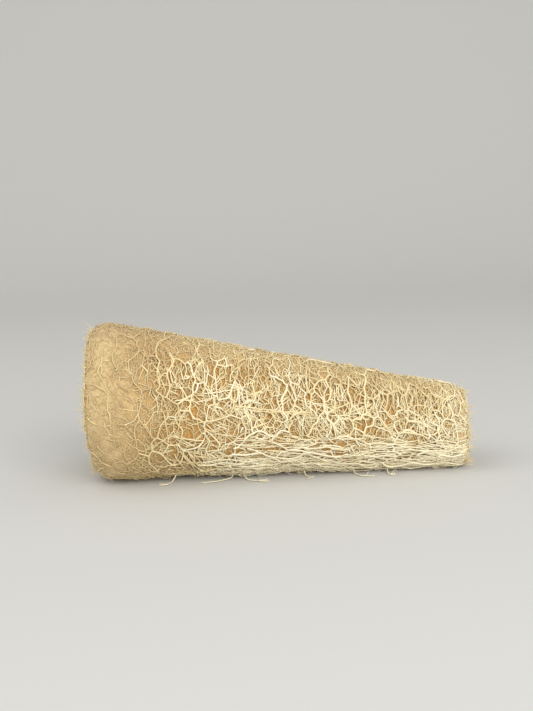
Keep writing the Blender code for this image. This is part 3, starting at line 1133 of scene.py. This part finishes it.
class LOOFAH_OT_tangle(bpy.types.Operator):
    """Lay loose fibres across the nets, long pale ones on the low sides, and the finest on the felt"""

    bl_idname = "loofah.tangle"
    bl_label = "Tangle"

    def execute(self, context):
        form = context.scene.loofah_form
        draw = np.random.default_rng(TANGLE_SEED)
        plain = Weave(
            radius=form.thread, spread=0.3, drop=0.0, wobble=0.05,
            rough=0.0, bulge=0.03, flare=0.0, step=1.4 * MM,
        )
        kinds = (
            Fibres(
                names=("tangle",), count=3400, weave=plain, tone_shift=0.0, rounder=0,
                reach=(4 * MM, 15 * MM), deep=(0.1 * MM, 1.2 * MM), way_at=any_way,
                want_at=lambda x, angle: 1 - TANGLE_SPARES_CLOSE * closeness(x, angle),
            ),
            Fibres(
                names=("long_strands",), count=320, tone_shift=0.1, rounder=1,
                weave=plain._replace(radius=form.strand * 0.92, spread=0.2),
                reach=(14 * MM, 46 * MM), deep=(0.0, 0.9 * MM),
                way_at=lambda draw, x, angle: draw.normal(0, LONG_LEAN), want_at=low_side,
            ),
            Fibres(
                # The finest fibres lie under the nets, and their tone is made duller as painted shade
                names=("fine_fibres_1", "fine_fibres_2"), count=5200, tone_shift=-0.4, rounder=0,
                weave=plain._replace(radius=form.hair, spread=0.25, wobble=0.09),
                reach=(3 * MM, 9 * MM), deep=(0.6 * MM, 1.7 * MM), way_at=any_way,
                want_at=lambda x, angle: (
                    1 - HAIRS_SPARE_CLOSE * closeness(x, angle) - HAIRS_SPARE_LOW * low_side(x, angle)
                ),
            ),
            Fibres(
                names=("close_fibres_1", "close_fibres_2"), count=16000, tone_shift=-0.05, rounder=0,
                weave=plain._replace(radius=form.hair * 0.85, spread=0.2, wobble=0.12),
                reach=(2.5 * MM, 7 * MM), deep=(0.05 * MM, 0.7 * MM), way_at=any_way,
                want_at=closeness,
            ),
        )
        for fibres in kinds:
            strands = loose_fibres(draw, fibres)
            shares = len(fibres.names)
            for share, name in enumerate(fibres.names):
                start = len(strands) * share // shares
                end = len(strands) * (share + 1) // shares
                add_piece(context, name, strands[start:end], fibres.rounder)
        return {"FINISHED"}


class LOOFAH_OT_rib(bpy.types.Operator):
    """Run the yellowish rib along the middle of the front, with fibres that leave it both ways"""

    bl_idname = "loofah.rib"
    bl_label = "Rib"

    def execute(self, context):
        form = context.scene.loofah_form
        draw = np.random.default_rng(RIB_SEED)
        sheet = side_sheet()
        weave = Weave(
            radius=form.strand * 0.8, spread=0.2, drop=0.0, wobble=0.06,
            rough=0.0, bulge=0.02, flare=0.0, step=1.2 * MM,
        )
        strands = []
        ends = np.linspace(-1, 1, RIB_KNOTS)
        for line in range(RIB_LINES):
            x = np.linspace(*RIB_SPAN, RIB_KNOTS) * MM + draw.normal(0, RIB_SHIFT, RIB_KNOTS) * MM
            beside = (line - (RIB_LINES - 1) / 2) * RIB_APART
            angle = RIB_ANGLE + beside + draw.normal(0, RIB_WANDER, RIB_KNOTS)
            path = np.column_stack((x, angle, RIB_DEPTH + DIP * ends**RIB_END_DIP))
            strands.extend(strands_from(draw, sheet, weave, path, 1.0, RIB_TONE))
        run = np.linspace(0, 1, FIBRE_KNOTS)
        for _ in range(LEAVING):
            x = draw.uniform(*LEAVING_SPAN) * MM
            side = draw.choice((-1, 1))
            lean = draw.normal(0, LEAVING_LEAN)
            reach = draw.uniform(*LEAVING_REACH) * MM
            along = x + reach * (LEAVING_ALONG * run + math.sin(lean) * run * run)
            angle = RIB_ANGLE + side * reach * run**LEAVING_CURVE / sheet.width(x)
            path = np.column_stack((along, angle, RIB_DEPTH + DIP * run**LEAVING_DIP))
            thickness = draw.uniform(*LEAVING_THICKNESS)
            strands.extend(strands_from(draw, sheet, weave, path, thickness, LEAVING_TONE))
        add_piece(context, "rib", strands, 1)
        return {"FINISHED"}


class LOOFAH_OT_inner_nets(bpy.types.Operator):
    """Line the three seed channels with long-celled nets and cover both cuts with close ones"""

    bl_idname = "loofah.inner_nets"
    bl_label = "Inner Nets"

    def execute(self, context):
        form = context.scene.loofah_form
        weave = Weave(
            radius=form.thread, spread=0.25, drop=0.06, wobble=0.10,
            rough=0.25 * MM, bulge=0.04, flare=0.3, step=1.5 * MM,
        )
        for number in range(len(CHANNELS)):
            strands = []
            for layer, depth in enumerate(CHANNEL_LAYERS):
                strands += grow_net(
                    CHANNEL_SEED + 2 * number + layer,
                    channel_sheet(number),
                    weave,
                    lambda x, angle: [np.full_like(x, size) for size in CHANNEL_CELL],
                    lambda x, angle: np.full_like(x, depth),
                )
            add_piece(context, f"channel_net_{number}", strands)
        strands = []
        for number, behind in enumerate(CUT_LAYERS):
            thinner = LATER_THINNER if number else 1.0
            for side in (-1, 1):
                strands += grow_net(
                    CUT_SEED + 2 * number + side,
                    section_sheet(side * (HALF_LENGTH - behind)),
                    weave._replace(radius=form.thread * thinner),
                    lambda y, up: (np.full_like(y, CUT_CELL), np.full_like(y, CUT_CELL)),
                    lambda y, up: np.zeros_like(y),
                )
        add_piece(context, "cut_nets", strands)
        return {"FINISHED"}


def free_strand(points, radii, tone):
    """A strand through free points, from its root's radius to its tip's."""
    points = np.array(points)
    reach = np.linalg.norm(np.diff(points, axis=0), axis=1)
    places = curve_through(points, np.maximum(np.round(reach / MM), 1).astype(int))
    places[:, 2] = np.maximum(places[:, 2], STRAY_LIFT)
    return Strand(places, np.linspace(radii[0], radii[1], len(places)), tone)


def skin_point(x, angle, depth=0.0):
    return side_places(np.array([x]), np.array([angle]), depth)[0]


def outwards(angle):
    return np.array((0.0, math.cos(angle), math.sin(angle)))


def cut_fringe(draw, form):
    """The short cut ends that stand out of both cuts, most of them round the rim."""
    radii = [form.hair * share for share in FRINGE_TAPER]
    strands = []
    while len(strands) < FRINGE_ENDS:
        side = draw.choice((-1, 1))
        x = side * HALF_LENGTH
        angle = draw.uniform(0, math.tau)
        if draw.random() < RIM_CHANCE:
            sunk = draw.uniform(*RIM_DEPTH) * MM
        else:
            sunk = draw.uniform(*FACE_DEPTH) * half_height(share_at(x))
        root = skin_point(x - side * FRINGE_ROOT, angle, sunk)
        if depth_behind_channels(root[None])[0] < FRINGE_CLEARANCE:
            continue
        reach = (FRINGE_LEAST + FRINGE_MORE * draw.random() ** FRINGE_FEW_LONG) * MM
        lean = outwards(angle) * draw.normal(*FRINGE_OUTWARDS)
        way = np.array((side, 0.0, 0.0)) + lean + draw.normal(0, FRINGE_STRAY, 3)
        bow = draw.normal(0, FRINGE_BOW, 3) * MM
        middle = root + way * reach * FRINGE_MIDDLE + bow
        tip = root + way * reach + FRINGE_TIP_BOW * bow
        strands.append(free_strand((root, middle, tip), radii, FRINGE_TONE))
    return strands


def skin_fuzz(draw, form):
    """Broken fibre ends that stand a millimetre or two off the skin."""
    radii = [form.hair * share for share in FUZZ_TAPER]
    strands = []
    for _ in range(FUZZ_ENDS):
        x = draw.uniform(-HALF_LENGTH + FUZZ_FROM_CUTS[0], HALF_LENGTH - FUZZ_FROM_CUTS[1])
        angle = draw.uniform(0, math.tau)
        heading = draw.uniform(0, math.tau)
        reach = draw.uniform(*FUZZ_REACH) * MM
        out = outwards(angle)
        round_way = np.array((0.0, -math.sin(angle), math.cos(angle)))
        flat = np.array((math.cos(heading), 0.0, 0.0)) + round_way * math.sin(heading)
        rise = draw.uniform(*FUZZ_RISE)
        root = skin_point(x, angle, FUZZ_ROOT)
        middle = root + flat * reach / 2 + out * (FUZZ_OUT + reach * rise * FUZZ_MIDDLE_RISE)
        tip = root + flat * reach + out * (FUZZ_OUT + reach * rise)
        tone = round(float(np.clip(surface_tone(x, angle), 0, 1)) * (TONES - 1)) / (TONES - 1)
        strands.append(free_strand((root, middle, tip), radii, tone))
    return strands


def pulled_fibres(draw, form):
    """The long fibres that trail from the low sides, forked near their tips, and one on the crown."""
    strands = []
    for share, degrees, steps in STRAYS:
        angle = math.radians(degrees)
        start = skin_point((share - 0.5) * BODY_LENGTH, angle)
        side = math.copysign(1.0, start[1])
        points = [start - outwards(angle) * STRAY_ROOT, start]
        points += [start + np.array((along, side * aside, up)) * MM for along, aside, up in steps]
        strands.append(free_strand(points, (form.strand * STRAY_THICKER, form.hair), 1.0))
        fork = points[-2]
        radii = (form.thread * FORK_THINNER, form.hair * FORK_THINNER)
        for _ in range(FORK_TINES):
            tip = fork + (points[-1] - fork) * FORK_REACH + draw.normal(0, FORK_SPREAD, 3) * MM
            middle = (fork + tip) / 2 + draw.normal(0, FORK_BEND, 3) * MM
            strands.append(free_strand((fork, middle, tip), radii, 1.0))
    ends = [skin_point(x * MM, CROWN_STRAY_ANGLE, depth * MM) for x, depth in CROWN_STRAY]
    strands.append(free_strand(ends, (form.thread, form.thread), CROWN_STRAY_TONE))
    return strands


class LOOFAH_OT_fringe(bpy.types.Operator):
    """Add the cut ends, the broken ends on the skin and the fibres pulled loose"""

    bl_idname = "loofah.fringe"
    bl_label = "Loose Ends"

    def execute(self, context):
        form = context.scene.loofah_form
        draw = np.random.default_rng(FRINGE_SEED)
        for name, grow, rounder in (
            ("cut_fringe", cut_fringe, 0),
            ("skin_fuzz", skin_fuzz, 0),
            ("pulled_fibres", pulled_fibres, 1),
        ):
            add_piece(context, name, grow(draw, form), rounder)
        return {"FINISHED"}


class LOOFAH_OT_stage(bpy.types.Operator):
    """Set the floor, the soft studio light and the camera"""

    bl_idname = "loofah.stage"
    bl_label = "Stage"

    def execute(self, context):
        add_backdrop(context)
        add_lights(context)
        add_camera(context)
        return {"FINISHED"}


def add_backdrop(context):
    """Pale matt paper that lies flat under the sponge and sweeps up behind it without an edge."""
    bm = bmesh.new()
    bmesh.ops.create_grid(bm, x_segments=2, y_segments=SWEEP_STEPS, size=0.5)
    floor_run = FLOOR_BACK - FLOOR_FRONT
    round_run = SWEEP_ROUND * math.pi / 2
    for vert in bm.verts:
        run = (vert.co.y + 0.5) * (floor_run + round_run + WALL_HIGH)
        turned = min(max(run - floor_run, 0), round_run) / SWEEP_ROUND
        y = FLOOR_FRONT + min(run, floor_run) + SWEEP_ROUND * math.sin(turned)
        z = SWEEP_ROUND * (1 - math.cos(turned)) + max(run - floor_run - round_run, 0)
        vert.co = (vert.co.x * SWEEP_WIDE, y, z)
    mesh = bpy.data.meshes.new("backdrop")
    bm.to_mesh(mesh)
    bm.free()
    mesh.shade_smooth()
    material, _, shader = new_material("studio_paper_matt")
    shader.inputs["Base Color"].default_value = linear("#CFCECA")
    shader.inputs["Roughness"].default_value = 0.9
    mesh.materials.append(material)
    backdrop = bpy.data.objects.new("backdrop", mesh)
    context.scene.collection.objects.link(backdrop)


def add_lights(context):
    """A broad soft light low in front on the right, a weaker one high on the left, pale air."""
    for lamp in LAMPS:
        light = bpy.data.lights.new(lamp.name, "AREA")
        light.shape = "SQUARE"
        light.size = lamp.size
        light.energy = lamp.power
        obj = bpy.data.objects.new(lamp.name, light)
        obj.location = lamp.place
        obj.rotation_mode = "QUATERNION"
        obj.rotation_quaternion = (Vector(lamp.place) - LIT_PLACE).to_track_quat("Z", "Y")
        context.scene.collection.objects.link(obj)
    world = bpy.data.worlds.new("pale_studio_air")
    world.use_nodes = True
    air = world.node_tree.nodes["Background"]
    air.inputs["Color"].default_value = linear("#E6E6E4")
    air.inputs["Strength"].default_value = AIR_STRENGTH
    context.scene.world = world


def add_camera(context):
    """The photograph's view: along the front, a little from above."""
    data = bpy.data.cameras.new("camera")
    data.lens = LENS
    data.clip_start = 10 * MM
    camera = bpy.data.objects.new("camera", data)
    back = Vector((0, -math.cos(CAMERA_TILT), math.sin(CAMERA_TILT)))
    camera.location = AIM + back * CAMERA_BACK
    camera.rotation_mode = "QUATERNION"
    camera.rotation_quaternion = Quaternion(back, CAMERA_ROLL) @ back.to_track_quat("Z", "Y")
    context.scene.collection.objects.link(camera)
    context.scene.camera = camera
    context.scene.view_settings.view_transform = "Standard"


class LOOFAH_PT_panel(bpy.types.Panel):
    """Lists the loofah's pieces in the order they are grown"""

    bl_idname = "LOOFAH_PT_panel"
    bl_label = "Loofah Sponge"
    bl_space_type = "VIEW_3D"
    bl_region_type = "UI"
    bl_category = "Loofah"

    def draw(self, context):
        form = context.scene.loofah_form
        for name in form.__annotations__:
            self.layout.prop(form, name)
        for operator in OPERATORS:
            self.layout.operator(operator.bl_idname)


OPERATORS = (
    LOOFAH_OT_felt,
    LOOFAH_OT_outer_nets,
    LOOFAH_OT_tangle,
    LOOFAH_OT_rib,
    LOOFAH_OT_inner_nets,
    LOOFAH_OT_fringe,
    LOOFAH_OT_stage,
)
CLASSES = (LoofahForm, *OPERATORS, LOOFAH_PT_panel)


def register():
    for cls in CLASSES:
        bpy.utils.register_class(cls)
    bpy.types.Scene.loofah_form = PointerProperty(type=LoofahForm)


def unregister():
    del bpy.types.Scene.loofah_form
    for cls in reversed(CLASSES):
        bpy.utils.unregister_class(cls)


def main():
    register()
    bpy.ops.loofah.felt()
    bpy.ops.loofah.outer_nets()
    bpy.ops.loofah.tangle()
    bpy.ops.loofah.rib()
    bpy.ops.loofah.inner_nets()
    bpy.ops.loofah.fringe()
    bpy.ops.loofah.stage()


if __name__ == "__main__":
    main()
